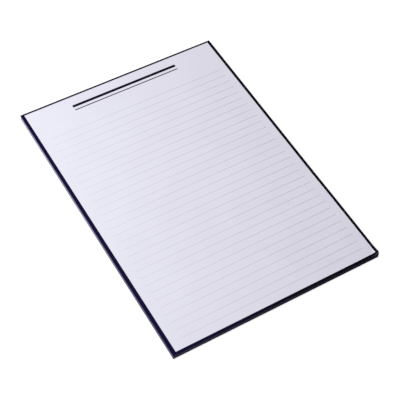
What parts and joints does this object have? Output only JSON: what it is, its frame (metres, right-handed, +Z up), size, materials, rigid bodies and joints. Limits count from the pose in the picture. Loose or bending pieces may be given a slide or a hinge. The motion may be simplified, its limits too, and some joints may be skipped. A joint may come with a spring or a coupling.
{
  "type": "legal pad",
  "caption": "Ruled A4 writing pad glued along its head, on a greyboard back, with one lifted corner at the foot.",
  "frame": {"origin": "under the middle of the pad, on the surface that it lies on", "axes": "+X across the sheet to the reader's right, +Y from the foot to the glued head, +Z up out of the top sheet"},
  "size_m": [0.21, 0.2974, 0.0093],
  "materials": {
    "writing_paper": "uncoated white writing paper, printed with a navy border to the cut edges and fine grey rules; the border's ink tints the cut sides",
    "greyboard": "plain recycled greyboard, matte and speckled with fibres",
    "dried_glue": "clear padding glue, dried to a dull, thin skin that looks dark over the ink-stained edges of the sheets"
  },
  "bodies": {
    "root": {"page_block": "writing_paper", "backing_board": "greyboard", "padding_glue": "dried_glue"}
  },
  "joints": []
}
